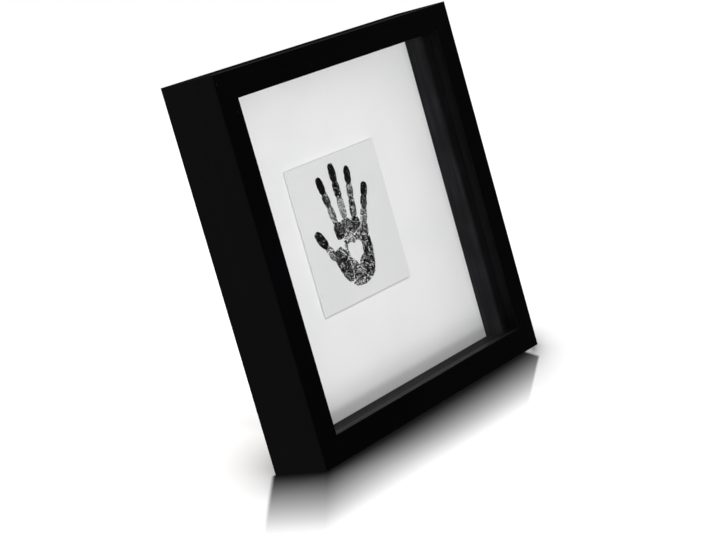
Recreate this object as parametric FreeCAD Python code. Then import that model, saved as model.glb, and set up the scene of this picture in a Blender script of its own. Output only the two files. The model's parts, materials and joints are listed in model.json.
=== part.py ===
import FreeCAD, Part
import math
import os
from FreeCAD import Placement, Rotation, Vector

os.makedirs("parts", exist_ok=True)

# The frame stands upright and is seen from the front along +Y. X runs to the
# viewer's right and Z up. The origin is the middle of the face it stands on.

# Box frame as a whole
frame_width = 280.0
frame_height = 280.0
frame_depth = 48.0

# Moulding: an L section, a lip in front of a rebate
face_width = 20.0
lip_overhang = 8.0
lip_thickness = 7.5
arris_radius = 0.6

# Layers in the rebate, from the glass back to the panel
glass_thickness = 2.0
mount_board_thickness = 1.4
foam_thickness = 3.0
packer_thickness = 4.0
back_panel_thickness = 3.0
sheet_clearance = 1.0
spacer_thickness = 3.5

# Printed card, stood off the mount board on four pads
card_width = 108.0
card_height = 108.6
card_thickness = 1.4
card_shift_x = -4.0
card_shift_z = 3.0
pad_size = 20.0
pad_thickness = 0.5
pad_inset = 9.0

# Steel wedges across each mitre, two stacked in depth
v_nail_leg = 4.5
v_nail_thickness = 0.5
v_nail_depth = 10.0
v_nail_sink = 0.3
v_nail_stack = 2
v_nail_half_angle = 60.0
v_nail_apex_share = 0.58

# Round-head wood screw, one size for buttons and hangers
screw_radius = 1.5
screw_length = 12.0
screw_tip_length = 2.5
screw_tip_radius = 0.3
screw_head_radius = 2.9
screw_head_height = 1.7
screw_head_rounding = 1.1
cross_width = 0.7
cross_length = 3.2
cross_depth = 0.9
pilot_clearance = 0.02

# Turn button: a flat tapered steel blade on a screw
button_thickness = 1.0
button_pivot_radius = 5.5
button_tip_radius = 4.0
button_centres = 17.0
button_edge_rounding = 0.2
button_play = 0.06
button_spread = 127.0
dimple_radius = 1.7
dimple_height = 0.45
dimple_wall_share = 0.6

# Strap hanger: a rolled steel strap that carries a wire ring
strap_thickness = 0.9
strap_slit = 0.4
strap_gap = 7.0
strap_screw_pitch = 8.5
strap_end_margin = 6.0
ring_wire_radius = 0.9
ring_half_width = 5.0
ring_leg = 6.0
ring_corner_radius = 1.3
ring_side_clearance = 0.7
ring_play = 0.08
ring_screw_gap = 0.8

# Soft pads on the back, lower corners
bumper_radius = 4.75
bumper_thickness = 4.0
bumper_rounding = 0.6
bumper_inset = 22.0

# Wood left between the rebate and the screws in the moulding's back
button_wood = 3.0
hanger_wood = 1.5

# How far every cutting body runs past the face it cuts
overrun = 1.0

# Places that follow from the sizes above
front_y = -frame_depth / 2
back_y = frame_depth / 2
wall_width = face_width - lip_overhang
bumper_line = wall_width / 2
button_line = wall_width - button_wood - screw_radius
hanger_line = wall_width - hanger_wood - screw_radius
pocket_width = frame_width - 2 * wall_width
pocket_height = frame_height - 2 * wall_width
sheet_width = pocket_width - 2 * sheet_clearance
sheet_height = pocket_height - 2 * sheet_clearance
glass_y = front_y + lip_thickness
spacer_y = glass_y + glass_thickness
back_panel_y = back_y - back_panel_thickness
packer_y = back_panel_y - packer_thickness
foam_y = packer_y - foam_thickness
mount_board_y = foam_y - mount_board_thickness
spacer_depth = mount_board_y - spacer_y
pad_y = mount_board_y - pad_thickness
card_y = pad_y - card_thickness

# The ring's straight bar turns in the strap's rolled end
knuckle_bore = ring_wire_radius + ring_play
knuckle_radius = knuckle_bore + strap_thickness
ring_bar_y = back_y + knuckle_radius
strap_width = 2 * (ring_half_width - ring_wire_radius - ring_side_clearance)
ring_drop = ring_leg + ring_half_width + ring_wire_radius
first_screw_drop = ring_drop + ring_screw_gap + screw_head_radius
strap_screw_drops = [first_screw_drop, first_screw_drop + strap_screw_pitch]
strap_length = strap_screw_drops[-1] + strap_end_margin

# The hangers stand just above the side buttons' sweep
button_reach = button_centres + button_tip_radius
hanger_bar_z = frame_height / 2 + button_reach + strap_gap + strap_length
hanger_x = frame_width / 2 - hanger_line


def save(name, solids):
    """Write one node, a single solid or a group of separate ones."""
    shape = solids[0] if len(solids) == 1 else Part.makeCompound(solids)
    shape.exportStep("parts/" + name + ".step")


def box_between(low, high):
    """A box from its lowest to its highest corner."""
    size = high.sub(low)
    return Part.makeBox(size.x, size.y, size.z, low)


def prism(points, direction):
    """A straight prism over a closed outline of points."""
    outline = Part.makePolygon(points + [points[0]])
    return Part.Face(outline).extrude(direction)


def cylinder_back(radius, length, x, y, z):
    """A cylinder that runs backwards, along +Y, from its centre point."""
    return Part.makeCylinder(radius, length, Vector(x, y, z), Vector(0, 1, 0))


def edges_at(shape, places):
    """The edges along X that lie at the given (y, z) places."""
    tolerance = arris_radius / 100
    found = []
    for edge in shape.Edges:
        ends = [vertex.Point for vertex in edge.Vertexes]
        for y, z in places:
            if all(math.hypot(end.y - y, end.z - z) < tolerance for end in ends):
                found.append(edge)
    return found


def side_placement(turn, half_span):
    """Moves a rail built as the bottom one to the side it belongs to."""
    lift = Placement(Vector(0, 0, frame_height / 2), Rotation())
    spin = Placement(Vector(0, 0, 0), Rotation(Vector(0, 1, 0), turn))
    drop = Placement(Vector(0, 0, -half_span), Rotation())
    return lift.multiply(spin).multiply(drop)


# Each side: its name, its turn about Y from the bottom, its length, its reach
sides = {
    "bottom_rail": (0, frame_width, frame_height / 2),
    "top_rail": (180, frame_width, frame_height / 2),
    "left_stile": (90, frame_height, frame_width / 2),
    "right_stile": (-90, frame_height, frame_width / 2),
}


def moulding(length):
    """One mitred length of moulding, outer face at z = 0, lip in front."""
    half = length / 2
    section = [
        Vector(-half, front_y, 0),
        Vector(-half, front_y, face_width),
        Vector(-half, glass_y, face_width),
        Vector(-half, glass_y, wall_width),
        Vector(-half, back_y, wall_width),
        Vector(-half, back_y, 0),
    ]
    bar = prism(section, Vector(length, 0, 0))
    arrises = [(front_y, 0), (front_y, face_width), (back_y, 0)]
    bar = bar.makeFillet(arris_radius, edges_at(bar, arrises))
    mitre_outline = [
        Vector(-half, front_y - overrun, 0),
        Vector(half, front_y - overrun, 0),
        Vector(half - face_width, front_y - overrun, face_width),
        Vector(-half + face_width, front_y - overrun, face_width),
    ]
    keep = prism(mitre_outline, Vector(0, frame_depth + 2 * overrun, 0))
    return bar.common(keep)


def v_nail_outline(corner_x, corner_z, toward_x, toward_z, y):
    """The bent outline of one wedge, its point towards the inner corner."""
    apex_reach = wall_width * v_nail_apex_share
    apex = Vector(corner_x + toward_x * apex_reach, y, corner_z + toward_z * apex_reach)
    inward = Vector(toward_x, 0, toward_z).normalize()
    across = Vector(0, 1, 0).cross(inward)
    angle = math.radians(v_nail_half_angle)
    back_from_point = inward * (v_nail_thickness / math.sin(angle))
    outline = [apex]
    ends = []
    for side in (1, -1):
        leg = across * (side * math.sin(angle)) - inward * math.cos(angle)
        outer = apex + leg * v_nail_leg
        thick = across * (-side * math.cos(angle)) - inward * math.sin(angle)
        inner = outer + thick * v_nail_thickness
        ends.append((outer, inner))
    right_end, left_end = ends
    outline.extend([right_end[0], right_end[1]])
    outline.append(apex - back_from_point)
    outline.extend([left_end[1], left_end[0]])
    return outline


def corner_v_nails():
    """Every wedge, and the slots in the moulding that they fill."""
    nails = []
    slots = []
    for side_x in (-1, 1):
        for side_z in (-1, 1):
            corner_x = side_x * frame_width / 2
            corner_z = frame_height / 2 + side_z * frame_height / 2
            top_y = back_y - v_nail_sink
            for layer in range(v_nail_stack):
                y = top_y - (layer + 1) * v_nail_depth
                outline = v_nail_outline(corner_x, corner_z, -side_x, -side_z, y)
                nails.append(prism(outline, Vector(0, v_nail_depth, 0)))
            stack_depth = v_nail_stack * v_nail_depth
            outline = v_nail_outline(corner_x, corner_z, -side_x, -side_z, top_y - stack_depth)
            slots.append(prism(outline, Vector(0, stack_depth + v_nail_sink + overrun, 0)))
    return nails, slots


def wood_screw(x, seat_y, z):
    """A screw driven in from behind, its head's underside at seat_y."""
    head = cylinder_back(screw_head_radius, screw_head_height, x, seat_y, z)
    top_y = seat_y + screw_head_height
    rim = [edge for edge in head.Edges if abs(edge.BoundBox.YMin - top_y) < arris_radius / 100]
    head = head.makeFillet(screw_head_rounding, rim)
    shank_length = screw_length - screw_tip_length
    shank_y = seat_y - shank_length
    shank = cylinder_back(screw_radius, shank_length, x, shank_y, z)
    tip = Part.makeCone(
        screw_tip_radius,
        screw_radius,
        screw_tip_length,
        Vector(x, shank_y - screw_tip_length, z),
        Vector(0, 1, 0),
    )
    screw = head.fuse([shank, tip]).removeSplitter()
    for wide, tall in ((cross_length, cross_width), (cross_width, cross_length)):
        low = Vector(x - wide / 2, top_y - cross_depth, z - tall / 2)
        high = Vector(x + wide / 2, top_y + overrun, z + tall / 2)
        screw = screw.cut(box_between(low, high))
    return screw


def pilot_hole(x, seat_y, z):
    """The hole in the moulding that one screw fills."""
    depth = screw_length + pilot_clearance
    radius = screw_radius + pilot_clearance
    return cylinder_back(radius, depth + overrun, x, seat_y - depth, z)


# Each turn button: its pivot's x and z, and the turn that lays it on the panel
buttons = {
    "turn_button_top_left": (-button_spread / 2, frame_height - button_line, 180),
    "turn_button_top_right": (button_spread / 2, frame_height - button_line, 180),
    "turn_button_left": (button_line - frame_width / 2, frame_height / 2, 90),
    "turn_button_right": (frame_width / 2 - button_line, frame_height / 2, -90),
    "turn_button_bottom_left": (-button_spread / 2, button_line, 0),
    "turn_button_bottom_right": (button_spread / 2, button_line, 0),
}


def turn_button(x, z, turn):
    """A tapered blade with a pivot hole and a pressed dimple near its tip."""
    lean = math.asin((button_pivot_radius - button_tip_radius) / button_centres)
    tip_z = button_centres

    def rim_point(centre_z, radius, side):
        return Vector(side * radius * math.cos(lean), 0, centre_z + radius * math.sin(lean))

    heel = Vector(0, 0, -button_pivot_radius)
    crown = Vector(0, 0, tip_z + button_tip_radius)
    heel_right = rim_point(0, button_pivot_radius, 1)
    heel_left = rim_point(0, button_pivot_radius, -1)
    crown_right = rim_point(tip_z, button_tip_radius, 1)
    crown_left = rim_point(tip_z, button_tip_radius, -1)
    outline = Part.Wire([
        Part.Arc(heel_left, heel, heel_right).toShape(),
        Part.LineSegment(heel_right, crown_right).toShape(),
        Part.Arc(crown_right, crown, crown_left).toShape(),
        Part.LineSegment(crown_left, heel_left).toShape(),
    ])
    blade = Part.Face(outline).extrude(Vector(0, button_thickness, 0))
    outer_rim = [
        edge for edge in blade.Edges
        if edge.BoundBox.YMin > button_thickness / 2
    ]
    blade = blade.makeFillet(button_edge_rounding, outer_rim)
    dimple = Part.makeCone(
        dimple_radius,
        dimple_radius * dimple_wall_share,
        dimple_height,
        Vector(0, button_thickness, tip_z),
        Vector(0, 1, 0),
    )
    pressed = Part.makeCone(
        dimple_radius,
        dimple_radius * dimple_wall_share,
        dimple_height,
        Vector(0, 0, tip_z),
        Vector(0, 1, 0),
    )
    blade = blade.fuse(dimple).cut(pressed)
    hole_radius = screw_radius + button_play
    hole = cylinder_back(hole_radius, button_thickness + 2 * overrun, 0, -overrun, 0)
    blade = blade.cut(hole)
    spin = Rotation(Vector(0, 1, 0), turn)
    blade.Placement = Placement(Vector(x, back_y, z), spin)
    return blade


def strap_screw_places(x):
    """Where one hanger's screws stand."""
    return [(x, hanger_bar_z - drop) for drop in strap_screw_drops]


def hanger_strap(x):
    """A strap with round lower end, rolled into a knuckle at the top."""
    half = strap_width / 2
    end_z = hanger_bar_z - strap_length + half
    plate = Part.makeBox(
        strap_width,
        strap_thickness,
        hanger_bar_z - end_z,
        Vector(x - half, back_y, end_z),
    )
    round_end = cylinder_back(half, strap_thickness, x, back_y, end_z)
    start = Vector(x - half, ring_bar_y, hanger_bar_z)
    roll = Part.makeCylinder(knuckle_radius, strap_width, start, Vector(1, 0, 0))
    strap = plate.fuse([round_end, roll]).removeSplitter()
    bore_start = start - Vector(overrun, 0, 0)
    bore = Part.makeCylinder(
        knuckle_bore, strap_width + 2 * overrun, bore_start, Vector(1, 0, 0)
    )
    strap = strap.cut(bore)
    slit_low = Vector(x - half - overrun, back_y + strap_thickness, hanger_bar_z - knuckle_radius)
    slit_high = Vector(x + half + overrun, slit_low.y + strap_slit, hanger_bar_z)
    strap = strap.cut(box_between(slit_low, slit_high))
    for screw_x, screw_z in strap_screw_places(x):
        hole_radius = screw_radius + pilot_clearance
        hole_y = back_y - overrun
        hole = cylinder_back(
            hole_radius, strap_thickness + 2 * overrun, screw_x, hole_y, screw_z
        )
        strap = strap.cut(hole)
    return strap


def hanger_ring(x):
    """A D of wire, hanging from the straight bar in the strap's knuckle."""
    top = hanger_bar_z
    side = ring_half_width
    corner = ring_corner_radius
    leg_end = top - ring_leg
    bend = corner * (1 - math.cos(math.radians(45)))

    def at(dx, z):
        return Vector(x + dx, ring_bar_y, z)

    path = Part.Wire([
        Part.LineSegment(at(corner - side, top), at(side - corner, top)).toShape(),
        Part.Arc(
            at(side - corner, top), at(side - bend, top - bend), at(side, top - corner)
        ).toShape(),
        Part.LineSegment(at(side, top - corner), at(side, leg_end)).toShape(),
        Part.Arc(at(side, leg_end), at(0, leg_end - side), at(-side, leg_end)).toShape(),
        Part.LineSegment(at(-side, leg_end), at(-side, top - corner)).toShape(),
        Part.Arc(
            at(-side, top - corner), at(bend - side, top - bend), at(corner - side, top)
        ).toShape(),
    ])
    circle = Part.makeCircle(
        ring_wire_radius, at(corner - side, top), Vector(1, 0, 0)
    )
    ring = path.makePipeShell([Part.Wire([circle])], True, False)
    expected = math.pi * ring_wire_radius ** 2 * path.Length
    print("ring volume over section times length", round(ring.Volume / expected, 4))
    return ring


def sheet(y, thickness):
    """A full-size sheet standing on the rebate's floor."""
    low = Vector(-sheet_width / 2, y, wall_width)
    return Part.makeBox(sheet_width, thickness, sheet_height, low)


def spacer_fillets():
    """Four strips that line the box between the glass and the mount board."""
    half = pocket_width / 2
    top = frame_height - wall_width
    inner_bottom = wall_width + spacer_thickness
    inner_top = top - spacer_thickness
    spans = {
        "bottom_spacer": (-half, half, wall_width, inner_bottom),
        "top_spacer": (-half, half, inner_top, top),
        "left_spacer": (-half, spacer_thickness - half, inner_bottom, inner_top),
        "right_spacer": (half - spacer_thickness, half, inner_bottom, inner_top),
    }
    for name, (left, right, low, high) in spans.items():
        near = Vector(left, spacer_y, low)
        far = Vector(right, spacer_y + spacer_depth, high)
        save(name, [box_between(near, far)])


def print_card():
    """The card that carries the print."""
    low = Vector(card_shift_x - card_width / 2, card_y, card_centre_z - card_height / 2)
    return Part.makeBox(card_width, card_thickness, card_height, low)


def card_pads():
    """Four sticky pads, one near each corner of the card."""
    pads = []
    reach_x = card_width / 2 - pad_inset - pad_size / 2
    reach_z = card_height / 2 - pad_inset - pad_size / 2
    for side_x in (-1, 1):
        for side_z in (-1, 1):
            x = card_shift_x + side_x * reach_x - pad_size / 2
            z = card_centre_z + side_z * reach_z - pad_size / 2
            pads.append(Part.makeBox(pad_size, pad_thickness, pad_size, Vector(x, pad_y, z)))
    return pads


def wall_bumper(x):
    """A round pad on the back of the bottom rail."""
    pad = cylinder_back(bumper_radius, bumper_thickness, x, back_y, bumper_line)
    outer_y = back_y + bumper_thickness
    rim = [edge for edge in pad.Edges if abs(edge.BoundBox.YMin - outer_y) < arris_radius / 100]
    return pad.makeFillet(bumper_rounding, rim)


card_centre_z = frame_height / 2 + card_shift_z
button_screw_places = [(x, z) for x, z, turn in buttons.values()]
hanger_screw_places = strap_screw_places(-hanger_x) + strap_screw_places(hanger_x)
button_seat_y = back_y + button_thickness + button_play
strap_seat_y = back_y + strap_thickness

nails, slots = corner_v_nails()
holes = [pilot_hole(x, button_seat_y, z) for x, z in button_screw_places]
holes += [pilot_hole(x, strap_seat_y, z) for x, z in hanger_screw_places]

for name, (turn, length, half_span) in sides.items():
    rail = moulding(length)
    rail.Placement = side_placement(turn, half_span)
    save(name, [rail.cut(slots + holes)])

save("corner_v_nails", nails)
save("glass_pane", [sheet(glass_y, glass_thickness)])
spacer_fillets()
save("mount_board", [sheet(mount_board_y, mount_board_thickness)])
save("print_card", [print_card()])
save("card_foam_pads", card_pads())
save("foam_backing", [sheet(foam_y, foam_thickness)])
save("card_packer", [sheet(packer_y, packer_thickness)])
save("back_panel", [sheet(back_panel_y, back_panel_thickness)])

for name, (x, z, turn) in buttons.items():
    save(name, [turn_button(x, z, turn)])
save("turn_button_screws", [wood_screw(x, button_seat_y, z) for x, z in button_screw_places])

for name, x in (("left", -hanger_x), ("right", hanger_x)):
    save("hanger_strap_" + name, [hanger_strap(x)])
    save("hanger_ring_" + name, [hanger_ring(x)])
save("hanger_screws", [wood_screw(x, strap_seat_y, z) for x, z in hanger_screw_places])

bumper_x = frame_width / 2 - bumper_inset
save("wall_bumpers", [wall_bumper(-bumper_x), wall_bumper(bumper_x)])
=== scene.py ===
import json
import math

import bmesh
import bpy
from mathutils import Matrix, Vector


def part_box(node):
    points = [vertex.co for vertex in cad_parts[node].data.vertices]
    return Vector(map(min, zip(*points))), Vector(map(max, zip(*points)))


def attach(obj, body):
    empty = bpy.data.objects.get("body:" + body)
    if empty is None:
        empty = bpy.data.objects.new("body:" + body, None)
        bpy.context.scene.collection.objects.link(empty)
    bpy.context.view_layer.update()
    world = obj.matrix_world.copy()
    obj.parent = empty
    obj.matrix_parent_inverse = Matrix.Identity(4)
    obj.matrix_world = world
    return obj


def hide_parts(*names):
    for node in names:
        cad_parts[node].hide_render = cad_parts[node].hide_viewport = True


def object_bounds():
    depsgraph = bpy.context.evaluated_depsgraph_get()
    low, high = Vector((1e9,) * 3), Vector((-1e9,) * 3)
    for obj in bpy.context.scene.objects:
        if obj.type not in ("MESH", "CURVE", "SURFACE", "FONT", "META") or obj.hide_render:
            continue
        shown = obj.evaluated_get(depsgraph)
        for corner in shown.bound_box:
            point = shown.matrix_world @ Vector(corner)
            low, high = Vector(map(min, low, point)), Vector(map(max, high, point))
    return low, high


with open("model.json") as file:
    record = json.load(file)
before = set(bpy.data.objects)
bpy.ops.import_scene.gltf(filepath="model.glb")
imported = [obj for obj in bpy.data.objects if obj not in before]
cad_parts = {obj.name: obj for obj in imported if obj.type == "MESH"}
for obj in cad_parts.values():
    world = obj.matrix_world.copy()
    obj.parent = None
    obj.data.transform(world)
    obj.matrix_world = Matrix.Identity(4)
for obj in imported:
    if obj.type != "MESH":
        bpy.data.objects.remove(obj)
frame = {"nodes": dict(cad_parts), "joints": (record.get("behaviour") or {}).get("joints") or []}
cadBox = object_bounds()
nodes = frame["nodes"]
scene = bpy.context.scene
scene.view_settings.view_transform = "Standard"
mm = 0.001               # lengths are in metres
halfWidth = cadBox[1].x
fullHeight = cadBox[1].z
frontY = cadBox[0].y
backY = nodes["top_rail"].bound_box[6][1]     # the moulding's back, which the bumpers stand on
print("frame loaded with", len(nodes), "CAD nodes")


# Helpers for node trees

def plug(tree, socket, value):
    if isinstance(value, bpy.types.NodeSocket):
        tree.links.new(value, socket)
    else:
        socket.default_value = value


def addNode(tree, kind, plugs=None, **settings):
    node = tree.nodes.new(kind)
    for name, value in settings.items():
        setattr(node, name, value)
    for name, value in (plugs or {}).items():
        plug(tree, node.inputs[name], value)
    return node


def addStep(tree, kind, plugs=None, **settings):
    # a node of which only the first output is used
    return addNode(tree, kind, plugs, **settings).outputs[0]


def calc(tree, operation, *values):
    plugs = dict(enumerate(values))
    return addStep(tree, "ShaderNodeMath", plugs, operation=operation)


def times(tree, first, second):
    return calc(tree, "MULTIPLY", first, second)


def timesPlus(tree, first, second, added):
    return calc(tree, "MULTIPLY_ADD", first, second, added)


def minus(tree, first, second):
    return calc(tree, "SUBTRACT", first, second)


def larger(tree, first, second):
    return calc(tree, "MAXIMUM", first, second)


def vectorCalc(tree, operation, *values):
    plugs = dict(enumerate(values))
    node = addNode(tree, "ShaderNodeVectorMath", plugs, operation=operation)
    return node.outputs["Value" if operation in ("LENGTH", "DISTANCE", "DOT_PRODUCT") else "Vector"]


def splitVector(tree, vector):
    return addNode(tree, "ShaderNodeSeparateXYZ", {"Vector": vector}).outputs


def joinVector(tree, x=0.0, y=0.0, z=0.0):
    return addStep(tree, "ShaderNodeCombineXYZ", {"X": x, "Y": y, "Z": z})


def apart(tree, first, second):
    return calc(tree, "ABSOLUTE", minus(tree, first, second))


def measured(tree, place, centre, turn, unit):
    # a place as seen from centre, along turned axes, in the given units
    plugs = {"Vector": place, "Location": centre, "Rotation": turn, "Scale": unit}
    return addStep(tree, "ShaderNodeMapping", plugs, vector_type="TEXTURE")


def smooth(tree, value, start, end, low=0.0, high=1.0):
    plugs = {"Value": value, "From Min": start, "From Max": end, "To Min": low, "To Max": high}
    node = addNode(tree, "ShaderNodeMapRange", plugs, interpolation_type="SMOOTHSTEP")
    return node.outputs["Result"]


raggedDetail = 3.0       # noise detail of clouds and ragged edges
faceOn = 0.5             # a normal's share along an axis past which a face looks that way


def noise(tree, position, scale, detail=2.0, roughness=0.5):
    plugs = {"Vector": position, "Scale": scale, "Detail": detail, "Roughness": roughness}
    return addStep(tree, "ShaderNodeTexNoise", plugs)


def mixFloat(tree, factor, first, second):
    return addStep(tree, "ShaderNodeMix", {0: factor, 2: first, 3: second})


def mixColor(tree, factor, first, second, how="MIX"):
    plugs = {0: factor, 6: first, 7: second}
    node = addNode(tree, "ShaderNodeMix", plugs, data_type="RGBA", blend_type=how)
    return node.outputs[2]


def bump(tree, height, strength, distance):
    plugs = {"Height": height, "Strength": strength, "Distance": distance}
    return addNode(tree, "ShaderNodeBump", plugs).outputs["Normal"]


def paint(red, green, blue):
    # a screen colour, 0 to 255, as the linear colour that sockets take
    linear = []
    for part in (red, green, blue):
        share = part / 255
        linear.append(share / 12.92 if share <= 0.04045 else ((share + 0.055) / 1.055) ** 2.4)
    return (*linear, 1.0)


def newMaterial(name):
    material = bpy.data.materials.new(name)
    material.use_nodes = True
    material.node_tree.nodes.clear()
    return material, material.node_tree


def objectPlace(tree):
    return addNode(tree, "ShaderNodeTexCoord").outputs["Object"]


def objectNormal(tree):
    return addNode(tree, "ShaderNodeTexCoord").outputs["Normal"]


def cutSides(tree):
    # 1 on the sides of a sheet, where it was cut, and 0 on its two faces
    facing = splitVector(tree, objectNormal(tree))["Y"]
    return calc(tree, "LESS_THAN", calc(tree, "ABSOLUTE", facing), faceOn)


def surface(tree, shader):
    addNode(tree, "ShaderNodeOutputMaterial", {"Surface": shader})


def principled(tree, plugs):
    return addNode(tree, "ShaderNodeBsdfPrincipled", plugs).outputs["BSDF"]


def dress(tree, plugs):
    surface(tree, principled(tree, plugs))


def newGroup(name, takes, gives):
    tree = bpy.data.node_groups.new(name, "ShaderNodeTree")
    for label, value in takes.items():
        kind = "NodeSocketVector" if isinstance(value, tuple) else "NodeSocketFloat"
        tree.interface.new_socket(label, in_out="INPUT", socket_type=kind).default_value = value
    for label in gives:
        tree.interface.new_socket(label, in_out="OUTPUT", socket_type="NodeSocketFloat")
    taken = tree.nodes.new("NodeGroupInput").outputs
    given = tree.nodes.new("NodeGroupOutput").inputs
    return tree, taken, given


def useGroup(tree, group, plugs):
    node = tree.nodes.new("ShaderNodeGroup")
    node.node_tree = group
    for name, value in plugs.items():
        plug(tree, node.inputs[name], value)
    return node.outputs


# Camera, at the photo's angle

cameraView = {
    "place": (-1.07443, -0.87536, 0.31157),
    "forward": (0.76125, 0.63231, -0.14380),
    "up": (0.28201, -0.12313, 0.95148),
    "lens": 95.55,
    "sensorWidth": 36.0,
}


def makeCamera():
    lens = bpy.data.cameras.new("photoView")
    lens.sensor_fit = "HORIZONTAL"
    lens.sensor_width = cameraView["sensorWidth"]
    lens.lens = cameraView["lens"]
    camera = bpy.data.objects.new("photoView", lens)
    scene.collection.objects.link(camera)
    forward = Vector(cameraView["forward"]).normalized()
    right = forward.cross(Vector(cameraView["up"])).normalized()
    turn = Matrix((right, right.cross(forward), -forward)).transposed()
    camera.matrix_world = Matrix.Translation(cameraView["place"]) @ turn.to_4x4()
    scene.camera = camera


makeCamera()
print("camera placed")


# Floor: plain white, with a soft painted shade that falls from the frame towards the front left, in place
# of a reflection

floorLook = {
    "radius": 9.0,
    "sides": 96,
    "drop": 0.02 * mm,
    "white": (0.89, 0.91),
    "hazeScale": 3.0,
    "hazeRange": (0.2, 0.8),
    "bounceShare": 0.3,
    "whiteLevel": 1.65,
    "shadeReach": 96 * mm,
    "shadeCurve": (1.35, 1.6),
    "shadeFloor": 0.011,
    "leanLeft": 1.3,
    "shadeEdge": 5 * mm,
    "rightLift": {"from": 40 * mm, "to": 120 * mm, "curve": -0.16},
    "contactReach": 3 * mm,
    "contactDepth": 0.12,
    "openShare": 1.04,
    # two lines that end the shade on the right: how much they lean, and where they start
    "rightLines": ((1.827, 144.3 * mm), (0.76, 118.6 * mm)),
    # painted shadows at the two outer corners of the foot
    # across and along measure the way from the centre in reaches per metre
    "paintedCornerShades": {
        "leftCorner": {
            "centre": (-122.7 * mm, 24.1 * mm, 0.0),
            "across": (22.1, -26.8, 0.0),
            "along": (-18.1, 2.9, 0.0),
            "depth": 0.58,
            "power": 1.49,
        },
        "rightCorner": {
            "centre": (128.6 * mm, -27.0 * mm, 0.0),
            "across": (84.5, -135.5, 0.0),
            "along": (-33.1, 10.3, 0.0),
            "depth": 0.76,
            "power": 0.72,
        },
    },
}


def makeFloor():
    mesh = bpy.data.meshes.new("floor")
    ring = []
    for step in range(floorLook["sides"]):
        angle = 2 * math.pi * step / floorLook["sides"]
        across = floorLook["radius"] * math.cos(angle)
        ring.append((across, floorLook["radius"] * math.sin(angle), -floorLook["drop"]))
    mesh.from_pydata(ring, [], [list(range(len(ring)))])
    floor = bpy.data.objects.new("floor", mesh)
    scene.collection.objects.link(floor)
    floor.visible_glossy = False       # lacquer and glass mirror the dim room instead
    floor.visible_transmission = False
    material, tree = newMaterial("matteWhite")
    look = floorLook
    place = splitVector(tree, objectPlace(tree))

    # how far a point lies from the footprint along the way the shade falls
    besideIt = calc(tree, "DIVIDE", minus(tree, -halfWidth, place["X"]), look["leanLeft"])
    beforeIt = minus(tree, frontY, place["Y"])
    away = larger(tree, larger(tree, besideIt, beforeIt), 0.0)
    fromCorner = apart(tree, place["X"], -halfWidth)
    curve = smooth(tree, fromCorner, 0.0, look["shadeReach"], *look["shadeCurve"])
    lift = look["rightLift"]
    lift = smooth(tree, place["X"], lift["from"], lift["to"], 0.0, lift["curve"])
    curve = calc(tree, "ADD", curve, lift)
    shade = calc(tree, "POWER", calc(tree, "DIVIDE", away, look["shadeReach"]), curve)
    shade = calc(tree, "MINIMUM", calc(tree, "ADD", shade, look["shadeFloor"]), look["openShare"])
    pastLines = []
    for lean, start in look["rightLines"]:
        beside = minus(tree, place["X"], start)
        pastLines.append(timesPlus(tree, away, lean, beside))
    pastRight = larger(tree, *pastLines)
    pastBack = calc(tree, "ADD", away, minus(tree, place["Y"], backY))
    outside = smooth(tree, larger(tree, pastRight, pastBack), 0.0, look["shadeEdge"])

    # a narrow painted shadow band round the foot of the frame
    middleY = (frontY + backY) / 2
    sideways = minus(tree, calc(tree, "ABSOLUTE", place["X"]), halfWidth)
    lengthways = minus(tree, apart(tree, place["Y"], middleY), (backY - frontY) / 2)
    outX = larger(tree, sideways, 0.0)
    outY = larger(tree, lengthways, 0.0)
    gap = vectorCalc(tree, "LENGTH", joinVector(tree, outX, outY))
    fading = calc(tree, "EXPONENT", calc(tree, "DIVIDE", gap, -look["contactReach"]))
    contact = timesPlus(tree, fading, -look["contactDepth"], look["openShare"])

    # soft painted shadows at the two outer corners of the foot
    for cornerShade in look["paintedCornerShades"].values():
        off = vectorCalc(tree, "SUBTRACT", objectPlace(tree), cornerShade["centre"])
        along = vectorCalc(tree, "DOT_PRODUCT", off, cornerShade["along"])
        across = vectorCalc(tree, "DOT_PRODUCT", off, cornerShade["across"])
        far = vectorCalc(tree, "LENGTH", joinVector(tree, along, across))
        far = calc(tree, "POWER", far, cornerShade["power"])
        fading = calc(tree, "EXPONENT", times(tree, far, -1.0))
        contact = times(tree, contact, timesPlus(tree, fading, -cornerShade["depth"], 1.0))

    lit = mixFloat(tree, outside, shade, contact)
    lit = calc(tree, "DIVIDE", lit, look["whiteLevel"])
    haze = noise(tree, objectPlace(tree), look["hazeScale"])
    tone = smooth(tree, haze, *look["hazeRange"], *look["white"])
    seen = addNode(tree, "ShaderNodeLightPath").outputs["Is Camera Ray"]
    share = mixFloat(tree, seen, look["bounceShare"], 1.0)
    tone = times(tree, times(tree, tone, lit), share)
    tint = addStep(tree, "ShaderNodeCombineColor", {"Red": tone, "Green": tone, "Blue": tone})
    surface(tree, addStep(tree, "ShaderNodeBsdfDiffuse", {"Color": tint}))
    mesh.materials.append(material)
    return floor


floor = makeFloor()


# Light: a white room, dimmer in what gloss can mirror, three soft lamps and a sun for the floor alone

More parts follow.
